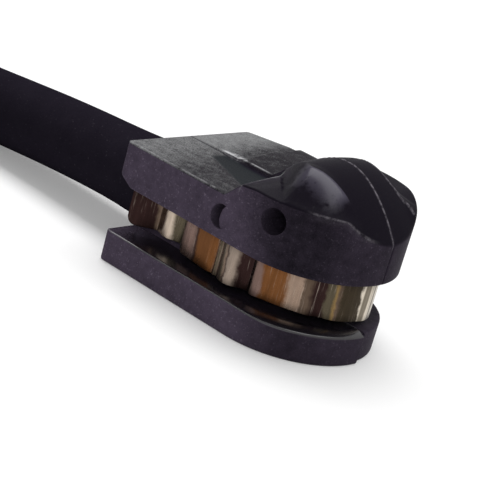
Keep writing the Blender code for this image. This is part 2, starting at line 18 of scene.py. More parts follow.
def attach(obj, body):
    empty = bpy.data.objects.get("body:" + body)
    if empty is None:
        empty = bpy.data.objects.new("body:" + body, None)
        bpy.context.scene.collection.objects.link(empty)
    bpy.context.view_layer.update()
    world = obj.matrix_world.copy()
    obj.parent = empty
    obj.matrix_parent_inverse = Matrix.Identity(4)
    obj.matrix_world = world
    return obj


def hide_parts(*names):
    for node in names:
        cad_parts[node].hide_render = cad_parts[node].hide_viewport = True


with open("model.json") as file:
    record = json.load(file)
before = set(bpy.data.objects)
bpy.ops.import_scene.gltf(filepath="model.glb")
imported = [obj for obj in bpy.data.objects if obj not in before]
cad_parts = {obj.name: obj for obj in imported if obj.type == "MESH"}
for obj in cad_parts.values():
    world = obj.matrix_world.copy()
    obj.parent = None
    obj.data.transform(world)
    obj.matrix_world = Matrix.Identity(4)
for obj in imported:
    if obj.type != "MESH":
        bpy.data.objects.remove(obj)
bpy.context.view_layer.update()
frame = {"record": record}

MM = 0.001

# Head, in millimetres: x from its rear face, y from its middle, z from the floor
HEAD_LENGTH = 15.65
HALF_WIDTH = 5.4
FILLET = 0.13
CORNER = 0.4
FOOT_TOP = 1.9
UPPER_FLOOR = 4.86
REAR_CHAMFER = (1.1, 0.6)
WEB_HALF_WIDTH = 2.8
DECK = 7.42
SHOULDER = 8.48
STEP_AT = 6.5
STEP_LENGTH = 1.65
STEP_SWEEP = 1.2
HUMP_AT = 7.0
HUMP_SPREAD = 1.18
APEX = 10.35
APEX_AT = 11.3
NOSE_DROP = 3.09
FLASH_HEIGHT = 0.09
PIN_HOLE = {"x": 11.25, "z": 7.3, "diameter": 1.5, "depth": 4.2}
FLASHED_HOLE = {"x": 7.85, "z": 6.12, "diameter": 1.4, "depth": 1.9}
FLASH_SKIN = {"x": 8.8, "radius": 1.0, "thickness": 1.1}

# Spring strip, on the head's axes
STRIP_BOTTOM = 2.2
STRIP_TOP = 4.56
STRIP_THICKNESS = 0.25
STRIP_EDGE = 0.05

# Lead, tie and plug, in millimetres on the frame's axes, with the tie's angle in degrees
CABLE = 4.8
COIL_CENTRE = (-47.9, -29.5)
COIL_RADIUS = 29.8
TIE_ANGLE = 150
TIE_MIDDLE = 5.34
PLUG_REAR = -21.9
PLUG_AXIS = (-56.9, 6.1)


def place(x, y, z):
    """A point of the head, in the frame's metres."""
    return Vector(((x - HEAD_LENGTH / 2) * MM, y * MM, z * MM))


def on_head(point):
    """The head's millimetres for a point in the frame's metres."""
    return point.x / MM + HEAD_LENGTH / 2, point.y / MM, point.z / MM


def smooth(low, high, at):
    """Eases from 0 to 1 as a value goes from low to high."""
    share = min(max((at - low) / (high - low), 0.0), 1.0)
    return share * share * (3 - 2 * share)


def bell(away, width):
    """1 at no distance, fading to 0 over a few widths."""
    return math.exp(-((away / width) ** 2))


def between(at, places, values):
    return float(np.interp(at, places, values))


# Camera

def add_camera():
    made = bpy.data.objects.new("camera", bpy.data.cameras.new("camera"))
    bpy.context.collection.objects.link(made)
    made.data.lens = 108
    made.data.clip_start = 0.001
    eye = Vector((0.046475, -0.06689, 0.03261))
    right = Vector((0.7278, 0.6350, 0.2590))
    back = Vector((0.5464, -0.7652, 0.3405))
    turn = Matrix((right, back.cross(right), back)).transposed().to_4x4()
    made.matrix_world = Matrix.Translation(eye) @ turn
    bpy.context.scene.camera = made


add_camera()
bpy.context.scene.view_settings.view_transform = "Standard"


# Materials

class Number:
    """A socket that carries one number, so that node maths reads as arithmetic."""

    def __init__(self, finish, socket):
        self.finish, self.socket = finish, socket

    def maths(self, operation, *values):
        return self.finish.node("Math", {"operation": operation}, dict(enumerate(values)))

    def __add__(self, other):
        return self.maths("ADD", self, other)

    def __sub__(self, other):
        return self.maths("SUBTRACT", self, other)

    def __rsub__(self, other):
        return self.maths("SUBTRACT", other, self)

    def __mul__(self, other):
        return self.maths("MULTIPLY", self, other)

    def ramp(self, low, high, to_low=0.0, to_high=1.0):
        """Eases from one value to another as this number goes from low to high."""
        return self.finish.node(
            "MapRange", {"interpolation_type": "SMOOTHSTEP"},
            {0: self, 1: low, 2: high, 3: to_low, 4: to_high},
        )

    __radd__ = __add__
    __rmul__ = __mul__


class Finish:
    """A material on the Principled shader, built from numbers and colours."""

    def __init__(self, name, **constants):
        self.material = bpy.data.materials.new(name)
        self.material.use_nodes = True
        self.tree = self.material.node_tree
        self.shader = self.tree.nodes["Principled BSDF"]
        for key, value in constants.items():
            self.shader.inputs[key.replace("_", " ")].default_value = value
        self.spot = self.node("TexCoord", output="Object")

    def node(self, kind, settings=None, inputs=None, output=0):
        made = self.tree.nodes.new("ShaderNode" + kind)
        for key, value in (settings or {}).items():
            if key == "stops":
                stops = made.color_ramp.elements
                while len(stops) < len(value):
                    stops.new(0.5)
                for stop, (position, color) in zip(stops, value):
                    stop.position, stop.color = position, (*color, 1)
            else:
                setattr(made, key, value)
        for key, value in (inputs or {}).items():
            self.feed(made.inputs[key], value)
        return Number(self, made.outputs[output])

    def feed(self, socket, value):
        if isinstance(value, Number):
            self.tree.links.new(value.socket, socket)
        elif isinstance(value, tuple) and len(value) == 3 and socket.type == "RGBA":
            socket.default_value = (*value, 1)
        else:
            socket.default_value = value

    def give(self, **values):
        for key, value in values.items():
            self.feed(self.shader.inputs[key.replace("_", " ")], value)
        return self

    def grain(self, size, detail=3.0, roughness=0.55, stretch=(1, 1, 1)):
        """Noise whose lumps are about size metres across, stretched along the axes."""
        spot = self.node(
            "Mapping", None,
            {"Vector": self.spot, "Scale": tuple(1 / (size * s) for s in stretch)},
        )
        return self.node(
            "TexNoise", None,
            {"Vector": spot, "Scale": 1.0, "Detail": detail, "Roughness": roughness},
        )

    def along(self, axis):
        return self.node("SeparateXYZ", None, {0: self.spot}, output=axis)

    def measure(self, name):
        """A number kept on the mesh."""
        return self.node("Attribute", {"attribute_name": name}, output="Fac")

    def mix(self, share, low, high):
        """A colour between two colours."""
        return self.node("Mix", {"data_type": "RGBA"}, {0: share, 6: low, 7: high}, output=2)

    def up(self):
        """1 on faces that look up, 0 on walls."""
        normal = self.node("NewGeometry", output="Normal")
        return self.node("SeparateXYZ", None, {0: normal}, output="Z")

    def bump(self, height, distance, strength):
        inputs = {"Height": height, "Distance": distance, "Strength": strength}
        return self.node("Bump", None, inputs)


def moulded_plastic():
    """Dark purple-grey plastic: grained on its flats, dusted and with a painted sheen on the deck,
    with painted light and shade along its walls, polished on the hump and foot, and with a painted
    highlight on the hump.
    """
    f = Finish("moulded_plastic", Specular_IOR_Level=0.02, Coat_Roughness=0.19, Coat_IOR=1.6)
    x, y, z = (f.along(axis) * 1000 for axis in "XYZ")
    up = f.up()
    fine = f.grain(0.00008, 2, 0.8)
    lump = f.grain(0.0005, 3, 0.6)
    blotch = f.grain(0.0022, 3, 0.6)
    tone = (fine - 0.5) * 1.2 + (lump - 0.5) * 1.2 + (blotch - 0.5) * 1.1

    top = z.ramp(7.0, 7.2) * up.ramp(0.15, 0.5)
    deck = top * x.ramp(1.2, -0.2)
    patch = x.ramp(-5.1, -4.6) * y.ramp(0.0, -0.06) * deck
    patch = patch * ((x + 4.9) * 0.47 + y + 1.25 + (lump - 0.5) * 0.5).ramp(-0.1, 0.1)
    crown = top * (1 - deck)
    far = y.ramp(-0.1, 0.1)
    foot = z.ramp(3.0, 2.5) * up.ramp(0.3, 0.6) * (1 - far * x.ramp(3.5, 5.0))

    # Painted light and shade on the walls: lighter towards the rear and lower down, falling off
    # towards the nose under the hump and lifting a little at its end, and a little lighter again
    # on the foot's wall. The pale specks show more where the painted light is stronger.
    painted_wall_light = (x + z * 0.25).ramp(6.4, 2.0) * 0.62 + x.ramp(5.8, 7.4) * 0.14
    speck = f.grain(0.00013, 2, 0.6).ramp(0.6, 0.72)
    level = tone * x.ramp(1.5, 4.5, 0.5, 0.25) + painted_wall_light + z.ramp(3.0, 2.0, 0.1, 0.17)
    wall = f.mix(level, (0.008, 0.0065, 0.01), (0.095, 0.074, 0.11))
    wall = f.mix(speck * (painted_wall_light * 0.6 + 0.08), wall, (0.22, 0.18, 0.24))
    # Dust and a painted sheen on the deck: its light grey is lighter towards the rear and on the
    # far half, and darker towards the step.
    dust_and_sheen = (fine - 0.5) * x.ramp(-6.5, -3.5, 2.2, 1.3) + (lump - 0.5) * 0.8 + 0.5 + far * 0.22
    dust_and_sheen = dust_and_sheen - x.ramp(-7.0, -2.6) * (0.42 + far * 0.33)
    dust_and_sheen_colour = f.mix(dust_and_sheen, (0.017, 0.015, 0.019), (0.265, 0.268, 0.272))
    color = f.mix(deck, wall, dust_and_sheen_colour)
    color = f.mix(patch, color, (0.012, 0.014, 0.017))
    color = f.mix(crown, color, (0.0065, 0.0048, 0.009))
    color = f.mix(foot * x.ramp(-7.5, -5.0, 0.3, 0.9), color, (0.008, 0.0065, 0.009))
    # Pale lines: flash along the seams, and painted highlights along the hump's ridge, the crest's
    # far edge, the step and the walls' top edges.
    line = f.measure("worn_line")
    broken = f.grain(0.00035, 3, 0.7).ramp(0.3, 0.62)
    pale = f.mix(deck, (0.25, 0.23, 0.26), (0.62, 0.62, 0.64))
    color = f.mix(line * broken, color, pale)
    groove = f.measure("dark_seam")
    color = f.mix(groove * 0.9, color, (0.008, 0.005, 0.012))
    below = f.measure("below_crest")
    # Painted highlight on the hump's near flank: a lighter purple base colour, where the coat is
    # also glossier.
    gloss_and_painted_highlight = crown * below.ramp(-0.06, 0.02) * below.ramp(1.8, 0.2)
    gloss_and_painted_highlight = gloss_and_painted_highlight * x.ramp(2.2, 3.6) * x.ramp(6.1, 5.4)
    gloss_and_painted_highlight = gloss_and_painted_highlight * (lump + gloss_and_painted_highlight * 0.35).ramp(0.42, 0.72)
    color = f.mix(gloss_and_painted_highlight, color, (0.038, 0.032, 0.054))
    polish = gloss_and_painted_highlight * 0.34 + crown * 0.006 + patch * 0.012 + foot * 0.9 + speck * 0.06
    grain = fine * (0.35 + deck * 0.9) + lump * 0.5 + blotch * 0.5
    return f.give(
        Base_Color=color, Roughness=0.55 + (fine - 0.5) * 0.3, Coat_Weight=polish,
        Normal=f.bump(grain * (1 - polish.ramp(0.0, 0.5) * 0.75), 0.000014, 0.9),
    ).material


def cable_sheath():
    """Nearly black sheath, drawn along its length, with pale specks of dust."""
    f = Finish("cable_sheath", Specular_IOR_Level=0.0)
    fine = f.grain(0.00012, 3, 0.6)
    drawn = f.grain(0.0012, 3, 0.55)
    speck = f.grain(0.00016, 2, 0.5).ramp(0.66, 0.76)
    color = f.mix(fine * 0.6 + drawn * 0.4, (0.008, 0.0065, 0.011), (0.022, 0.0185, 0.027))
    color = f.mix(speck * 0.3, color, (0.1, 0.09, 0.11))
    return f.give(
        Base_Color=color, Roughness=0.62 + (drawn - 0.5) * 0.3,
        Normal=f.bump(fine * 0.5 + drawn, 0.00001, 0.8),
    ).material


def spring_bronze():
    """Rolled bronze strip: rubbed pale on its wave bulges, where painted highlights lie too,
    tarnished brown and orange between, with painted shade along its top and bottom edges.
    """
    f = Finish("spring_bronze", Metallic=1.0)
    gone = f.measure("way_along")
    rolled = f.grain(0.00022, 3, 0.7, stretch=(1, 1, 14))
    patch = f.grain(0.0007, 3, 0.6)
    scratch = f.grain(0.00012, 3, 0.8, stretch=(1, 1, 25)).ramp(0.58, 0.75)
    z = f.along("Z") * 1000
    way = gone + (patch - 0.5) * 0.03 + (z - 3.4) * 0.003
    dark, brown, olive = (0.031, 0.016, 0.015), (0.12, 0.083, 0.06), (0.095, 0.078, 0.052)
    umber, buff = (0.045, 0.034, 0.022), (0.31, 0.245, 0.2)
    pale, orange, pink = (0.62, 0.51, 0.41), (0.165, 0.067, 0.024), (0.2, 0.13, 0.11)
    tan, white, gold = (0.31, 0.22, 0.165), (0.72, 0.64, 0.53), (0.26, 0.17, 0.07)
    # The pale and buff stops on the wave bulges, and the white at the nose, are rubbed metal with
    # painted highlights.
    stops = [
        (0.0, dark), (0.094, dark), (0.104, brown), (0.135, tan), (0.15, pale), (0.18, pale),
        (0.195, olive), (0.24, olive), (0.25, dark), (0.265, pink), (0.318, pink),
        (0.33, dark), (0.34, orange), (0.425, orange), (0.435, tan), (0.44, olive), (0.465, pink),
        (0.475, olive), (0.49, tan), (0.497, dark), (0.503, buff), (0.53, buff), (0.545, dark),
        (0.597, dark), (0.607, pink), (0.635, pink), (0.645, orange), (0.72, orange),
        (0.735, tan), (0.775, tan), (0.78, brown), (0.8, brown),
    ]
    nose = [
        (0.0, brown), (0.08, dark), (0.25, dark), (0.3, olive), (0.38, olive), (0.43, gold),
        (0.47, brown), (0.54, umber), (0.9, umber), (0.94, white), (1.0, white),
    ]
    color = f.node("ValToRGB", {"stops": stops}, {0: way})
    tip = f.node("ValToRGB", {"stops": nose}, {0: way * 5.0 - 4.0})
    color = f.mix(way.ramp(0.795, 0.805), color, tip)
    # Whitish streaks on the strip's far side at the nose: rubbed metal with a painted highlight on
    # its bulge.
    beyond = f.along("Y").ramp(0.0, 0.0001) * f.along("X").ramp(0.0058, 0.006)
    streak = f.grain(0.00035, 2, 0.6, stretch=(1, 1, 30)).ramp(0.4, 0.6)
    color = f.mix(beyond, color, f.mix(streak, (0.2, 0.17, 0.13), white))
    # Painted shade along the strip's top and bottom edges, fading the painted highlights towards
    # them; the rolled grain darkens it at random as well.
    rim = 1 - z.ramp(2.25, 2.7) * z.ramp(4.6, 3.9)
    color = f.mix((rolled - 0.4) * 0.6 + 0.08 + rim * 0.3, color, (0.0, 0.0, 0.0))
    color = f.mix(scratch * 0.35, color, (0.6, 0.5, 0.42))
    return f.give(
        Base_Color=color, Roughness=0.3 + (rolled - 0.5) * 0.25 + (patch - 0.5) * 0.2,
        Normal=f.bump(rolled * 0.8 + patch * 0.4, 0.000012, 0.8),
    ).material


def plain_metal(name, low, high, rough):
    f = Finish(name, Metallic=1.0)
    fine = f.grain(0.0002, 3, 0.6)
    wide = f.grain(0.0015, 3, 0.6)
    return f.give(
        Base_Color=f.mix(wide, low, high), Roughness=rough + (fine - 0.5) * 0.2,
        Normal=f.bump(fine, 0.000008, 0.6),
    ).material


def plain_plastic(name, low, high, rough, size=0.00025, depth=0.00001):
    f = Finish(name, Specular_IOR_Level=0.3)
    fine = f.grain(size, 3, 0.6)
    wide = f.grain(0.004, 3, 0.6)
    return f.give(
        Base_Color=f.mix(fine * 0.5 + wide * 0.5, low, high),
        Roughness=rough + (wide - 0.5) * 0.2,
        Normal=f.bump(fine, depth, 0.8),
    ).material


HEAD_PLASTIC = moulded_plastic()
SHEATH = cable_sheath()
BRONZE = spring_bronze()
FINISHES = {
    "tinned_copper": plain_metal("tinned_copper", (0.55, 0.52, 0.47), (0.72, 0.7, 0.66), 0.3),
    "bare_copper": plain_metal("bare_copper", (0.6, 0.28, 0.14), (0.8, 0.42, 0.24), 0.28),
    "core_brown": plain_plastic("core_brown", (0.1, 0.04, 0.02), (0.16, 0.07, 0.035), 0.4),
    "core_grey": plain_plastic("core_grey", (0.2, 0.2, 0.21), (0.28, 0.28, 0.29), 0.4),
    "plug_plastic": plain_plastic("plug_plastic", (0.014, 0.014, 0.016), (0.03, 0.03, 0.033), 0.5),
    "seal_rubber": plain_plastic("seal_rubber", (0.2, 0.05, 0.025), (0.3, 0.085, 0.045), 0.6),
    "lock_plastic": plain_plastic("lock_plastic", (0.42, 0.42, 0.4), (0.52, 0.52, 0.5), 0.45),
}


# Pieces

def loose(name, bm):
    """An object made from a bmesh, not yet in the scene."""
    mesh = bpy.data.meshes.new(name)
    bm.to_mesh(mesh)
    bm.free()
    return bpy.data.objects.new(name, mesh)


def keep(name, bm, material, slot, angle, *replaced, **measures):
    """Turns a bmesh into a named piece that stands for CAD nodes.

    Edges sharper than the angle stay sharp. Each measure is a function of a point,
    kept on the mesh for its material to read.
    """
    for face in bm.faces:
        face.material_index = 0
    made = loose(name, bm)
    mesh = made.data
    for measure, worth in measures.items():
        values = mesh.attributes.new(measure, "FLOAT", "POINT")
        values.data.foreach_set("value", [worth(v.co) for v in mesh.vertices])
    mesh.shade_smooth()
    mesh.set_sharp_from_angle(angle=math.radians(angle))
    mesh.materials.append(material)
    bpy.context.collection.objects.link(made)
    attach(made, "root")
    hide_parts(*replaced)
    return made


def sheet(bm, rows):
    """Quads between rows of points, each row as long as the next."""
    made = [[bm.verts.new(p) for p in row] for row in rows]
    for a, b in zip(made, made[1:]):
        for i in range(len(a) - 1):
            bm.faces.new((a[i], a[i + 1], b[i + 1], b[i]))
    return made


def solid_along(bm, rows):
    """A closed solid along rows of points, each a ring whose last point is its first."""
    made = sheet(bm, rows)
    for row in (made[0], made[-1]):
        bm.faces.new(row[:-1])


def close(bm, distance=1e-7):
    """Merges points that meet and turns every face outward."""
    bmesh.ops.remove_doubles(bm, verts=bm.verts, dist=distance)
    bmesh.ops.dissolve_degenerate(bm, edges=bm.edges, dist=distance)
    bmesh.ops.recalc_face_normals(bm, faces=bm.faces)


def cut(piece, cutters, crossing=False):
    """Cuts each cutter from the piece, then keeps the result as its plain mesh.

    A cutter whose own parts run into each other needs crossing.
    """
    for cutter in cutters:
        bpy.context.collection.objects.link(cutter)
        change = piece.modifiers.new(cutter.name, "BOOLEAN")
        change.object, change.solver, change.use_self = cutter, "EXACT", crossing
    evaluated = piece.evaluated_get(bpy.context.evaluated_depsgraph_get())
    piece.data = bpy.data.meshes.new_from_object(evaluated)
    piece.modifiers.clear()
    for cutter in cutters:
        bpy.data.objects.remove(cutter, do_unlink=True)


# Plug and tie

def repeat_nodes(layout):
    """A node group that sets round bars side by side on a line, or round a ring."""
    group = bpy.data.node_groups.new("bars_on_a_" + layout, "GeometryNodeTree")
    for name, sort, value in (
        ("Count", "NodeSocketInt", 8), ("Spacing", "NodeSocketFloat", 0.001),
        ("Ring Radius", "NodeSocketFloat", 0.006), ("Bar Length", "NodeSocketFloat", 0.008),
        ("Bar Radius", "NodeSocketFloat", 0.0003), ("Finish", "NodeSocketMaterial", None),
    ):
        socket = group.interface.new_socket(name, in_out="INPUT", socket_type=sort)
        if value is not None:
            socket.default_value = value
    group.interface.new_socket("Geometry", in_out="OUTPUT", socket_type="NodeSocketGeometry")
    given = group.nodes.new("NodeGroupInput")

    def node(kind, **inputs):
        made = group.nodes.new(kind)
        for key, value in inputs.items():
            socket = made.inputs[key.replace("_", " ")]
            if isinstance(value, (int, float)):
                socket.default_value = value
            else:
                group.links.new(value, socket)
        return made

    if layout == "ring":
        points = node(
            "GeometryNodeMeshCircle", Vertices=given.outputs["Count"],
            Radius=given.outputs["Ring Radius"],
        )
    else:
        step = node("ShaderNodeCombineXYZ", X=given.outputs["Spacing"])
        points = node(
            "GeometryNodeMeshLine", Count=given.outputs["Count"], Offset=step.outputs[0],
        )
    rod = node(
        "GeometryNodeMeshCylinder", Vertices=12, Radius=given.outputs["Bar Radius"],
        Depth=given.outputs["Bar Length"],
    )
    ball = node(
        "GeometryNodeMeshUVSphere", Segments=12, Rings=8, Radius=given.outputs["Bar Radius"],
    )
    half = node("ShaderNodeMath", Value=given.outputs["Bar Length"])
    half.operation = "MULTIPLY"
    half.inputs[1].default_value = 0.5
    low = node("ShaderNodeMath", Value=half.outputs[0])
    low.operation = "MULTIPLY"
    low.inputs[1].default_value = -1.0
    bar = group.nodes.new("GeometryNodeJoinGeometry")
    for end in (half, low):
        spot = node("ShaderNodeCombineXYZ", Z=end.outputs[0])
        moved = node(
            "GeometryNodeTransform", Geometry=ball.outputs["Mesh"], Translation=spot.outputs[0],
        )
        group.links.new(moved.outputs[0], bar.inputs[0])
    group.links.new(rod.outputs["Mesh"], bar.inputs[0])
    bars = node(
        "GeometryNodeInstanceOnPoints", Points=points.outputs["Mesh"], Instance=bar.outputs[0],
    )
    real = node("GeometryNodeRealizeInstances", Geometry=bars.outputs[0])
    done = node(
        "GeometryNodeSetMaterial", Geometry=real.outputs[0], Material=given.outputs["Finish"],
    )
    group.links.new(done.outputs[0], group.nodes.new("NodeGroupOutput").inputs[0])
    return group


def add_bars(bm, group, turn, material, **values):
    """Bars from the node group, turned and placed by a matrix, as plain mesh in the bmesh."""
    holder = bpy.data.objects.new("bars", bpy.data.meshes.new("bars"))
    bpy.context.collection.objects.link(holder)
    bars = holder.modifiers.new("bars", "NODES")
    bars.node_group = group
    values["Finish"] = material
    for item in group.interface.items_tree:
        key = item.name.replace(" ", "_")
        if item.in_out == "INPUT" and key in values:
            bars[item.identifier] = values[key]
    graph = bpy.context.evaluated_depsgraph_get()
    mesh = bpy.data.meshes.new_from_object(holder.evaluated_get(graph))
    bpy.data.objects.remove(holder, do_unlink=True)
    mesh.transform(turn)
    bm.from_mesh(mesh)
    bpy.data.meshes.remove(mesh)


def softened(node, width, segments=3):
    """A bmesh of a CAD piece with its edges rounded."""
    source = bpy.data.objects[node]
    copy = bpy.data.objects.new("softened", source.data.copy())
    copy.data.transform(source.matrix_world)
    bpy.context.collection.objects.link(copy)
    bm = bmesh.new()
    bm.from_mesh(copy.data)
    bmesh.ops.remove_doubles(bm, verts=bm.verts, dist=1e-7)
    bmesh.ops.dissolve_limit(
        bm, angle_limit=math.radians(1), verts=bm.verts[:], edges=bm.edges[:],
    )
    bm.to_mesh(copy.data)
    bm.free()
    edge = copy.modifiers.new("edge", "BEVEL")
    edge.width, edge.segments, edge.limit_method = width, segments, "ANGLE"
    edge.angle_limit = math.radians(40)
    graph = bpy.context.evaluated_depsgraph_get()
    mesh = bpy.data.meshes.new_from_object(copy.evaluated_get(graph))
    bpy.data.objects.remove(copy, do_unlink=True)
    bm = bmesh.new()
    bm.from_mesh(mesh)
    bpy.data.meshes.remove(mesh)
    return bm


def make_plug():
    """The plug's housing with its grip ribs, and its rear cap with its grip grooves."""
    y, z = (v * MM for v in PLUG_AXIS)
    plastic = FINISHES["plug_plastic"]
    line, ring = repeat_nodes("line"), repeat_nodes("ring")
    first_rib, side_face, top_face, cap_middle = -0.0141, 0.00645, 0.00605, 0.0028
    bm = softened("plug_housing", 0.00022)
    for side in (-1, 1):
        where = Matrix.Translation((first_rib, y + side * side_face, z))
        add_bars(
            bm, line, where, plastic,
            Count=8, Spacing=0.00085, Bar_Length=0.0072, Bar_Radius=0.00028,
        )
    where = Matrix.Translation((first_rib, y, z + top_face))
    add_bars(
        bm, line, where @ Matrix.Rotation(math.pi / 2, 4, "X"), plastic,
        Count=5, Spacing=0.00085, Bar_Length=0.006, Bar_Radius=0.00025,
    )
    keep("connector_housing", bm, plastic, "plug_plastic", 30, "plug_housing")
    cap, grooves = loose("cap", softened("plug_rear_cap", 0.00015)), bmesh.new()
    bpy.context.collection.objects.link(cap)
    where = Matrix.Translation((PLUG_REAR * MM + cap_middle, y, z))
    add_bars(
        grooves, ring, where @ Matrix.Rotation(math.pi / 2, 4, "Y"), plastic,
        Count=24, Ring_Radius=0.0062, Bar_Length=0.0023, Bar_Radius=0.0004,
    )
    cut(cap, [loose("grip_grooves", grooves)], crossing=True)
    bm = bmesh.new()
    bm.from_mesh(cap.data)
    bpy.data.objects.remove(cap, do_unlink=True)
    keep("connector_rear_cap", bm, plastic, "plug_plastic", 30, "plug_rear_cap")


def make_tie():
    """The band round the coil, its two ends twisted together outside."""
    angle = math.radians(TIE_ANGLE)
    outward, rise = Vector((math.cos(angle), math.sin(angle), 0)), Vector((0, 0, 1))
    across = rise.cross(outward)
    centre = Vector((*COIL_CENTRE, TIE_MIDDLE)) * MM
    start, end, half_width, half_thick, apart = 0.0332, 0.0396, 0.0009, 0.00017, 0.00022
    tail_from, tail_drawn_in, turns = 0.036, 0.0065, 1.25
    bm = softened("coil_tie", 0.0001, 2)
    for v in bm.verts:
        if (v.co - centre).dot(outward) > tail_from:
            v.co -= outward * tail_drawn_in
    corners = ((-1, -1), (1, -1), (1, 1), (-1, 1), (-1, -1))
    for side in (-1, 1):
        rows = []
        for way in np.linspace(start, end, 60):
            turn = math.tau * turns * smooth(start + 0.0004, end - 0.0002, way)
            wide = rise * math.cos(turn) + across * math.sin(turn)
            flat = across * math.cos(turn) - rise * math.sin(turn)
            middle = centre + outward * way + flat * side * apart
            rows.append([
                middle + wide * a * half_width + flat * b * half_thick for a, b in corners
            ])
        solid_along(bm, rows)
    close(bm)
    keep("bundle_tie", bm, FINISHES["plug_plastic"], "plug_plastic", 30, "coil_tie")


make_plug()
make_tie()


# Lead

def spline_points(points, step):
    """Points at an even step along a Catmull-Rom curve."""
    ends = [Vector(p) for p in points]
    ends = [2 * ends[0] - ends[1], *ends, 2 * ends[-1] - ends[-2]]
    pieces = 24
    dense = []
    for a, b, c, d in zip(ends, ends[1:], ends[2:], ends[3:]):
        for k in range(pieces):
            t = k / pieces
            dense.append(0.5 * (2 * b + (c - a) * t + (2 * a - 5 * b + 4 * c - d) * t * t
                                + (3 * b - a - 3 * c + d) * t**3))
    dense.append(ends[-2])
    gone = np.concatenate([[0], np.cumsum([(b - a).length for a, b in zip(dense, dense[1:])])])
    ways = np.linspace(0, gone[-1], max(2, round(gone[-1] / step)) + 1)
    table = np.array(dense)
    return [Vector([np.interp(w, gone, table[:, k]) for k in range(3)]) for w in ways]


def coil_points():
    """The coiled turns: three beside each other going in, then one and a half on top going out.

    Angles are in degrees, counted on from turn to turn.
    """
    first, last, step = 90, 1711, 12
    inward_at, layer_up_at, settle_at, outward_at = (390, 750), 1050, 1120, 1405
    points = []
    for angle in range(first, last, step):
        radius = COIL_RADIUS
        for start in inward_at:
            radius -= CABLE * smooth(start, start + 50, angle)
        radius += CABLE / 2 * smooth(settle_at, settle_at + 45, angle)
        radius += CABLE * smooth(outward_at, outward_at + 60, angle)
        z = CABLE / 2 + 0.01 + 4.3 * smooth(layer_up_at, settle_at, angle)
        z += 0.5 * math.sin(math.pi * smooth(outward_at, outward_at + 60, angle)) ** 2
        z += 0.5 * smooth(1470, 1495, angle) * smooth(1525, 1500, angle)
        turn = math.radians(angle)
        points.append((
            COIL_CENTRE[0] + radius * math.cos(turn), COIL_CENTRE[1] + radius * math.sin(turn), z,
        ))
    return points


def lead_route():
    """The whole lead's middle line in metres, from the head to inside the plug's seal."""
    out = [
        (-8.125, 0.0, 3.82), (-11.0, 0.1, 3.75), (-15.0, 0.3, 3.53), (-19.0, 0.5, 3.22),
        (-23.0, 0.6, 2.86), (-27.0, 0.5, 2.56), (-31.0, 0.4, 2.42), (-36.0, 0.35, 2.41),
        (-42.0, 0.3, 2.41),
    ]
    to_plug = [
        (-42.0, -56.9, 6.9), (-37.0, -56.9, 7.15), (-32.0, -56.9, 6.9), (-27.4, -56.9, 6.5),
        (-24.0, -56.9, 6.2), (-21.5, -56.9, 6.11), (-18.0, -56.9, 6.1), (-16.5, -56.9, 6.1),
    ]
    return [Vector(p) * MM for p in out + coil_points() + to_plug]


def make_lead():
    """The sheathed lead as one tube, a little thicker where it leaves the head."""
    route = spline_points(lead_route(), 0.0012)
    bm = bmesh.new()
    sides, flare, flare_length = 32, 0.08, 0.003
    rows = []
    side = Vector((0, 1, 0))
    gone = 0.0
    for i, point in enumerate(route):
        ahead = route[min(i + 1, len(route) - 1)] - route[max(i - 1, 0)]
        ahead.normalize()
        side = (side - ahead * side.dot(ahead)).normalized()
        lift = ahead.cross(side)
        gone += (point - route[max(i - 1, 0)]).length
        radius = CABLE / 2 * MM * (1 + flare * bell(gone, flare_length))
        turn = [math.tau * k / sides for k in range(sides)]
        rows.append([
            point + radius * (side * math.cos(t) + lift * math.sin(t)) for t in turn
        ])
        rows[-1].append(rows[-1][0])
    solid_along(bm, rows)
    close(bm)
    lead = keep("sensor_lead", bm, SHEATH, "cable_sheath", 50, "cable", "cable_coil", "cable_tail")


make_lead()


# Head

def fillet_drop(inset):
    """How far a rounded edge falls below the face at this distance in from the wall."""
    if inset >= FILLET:
        return 0.0
    return FILLET - math.sqrt(max(FILLET**2 - (FILLET - inset) ** 2, 0.0))


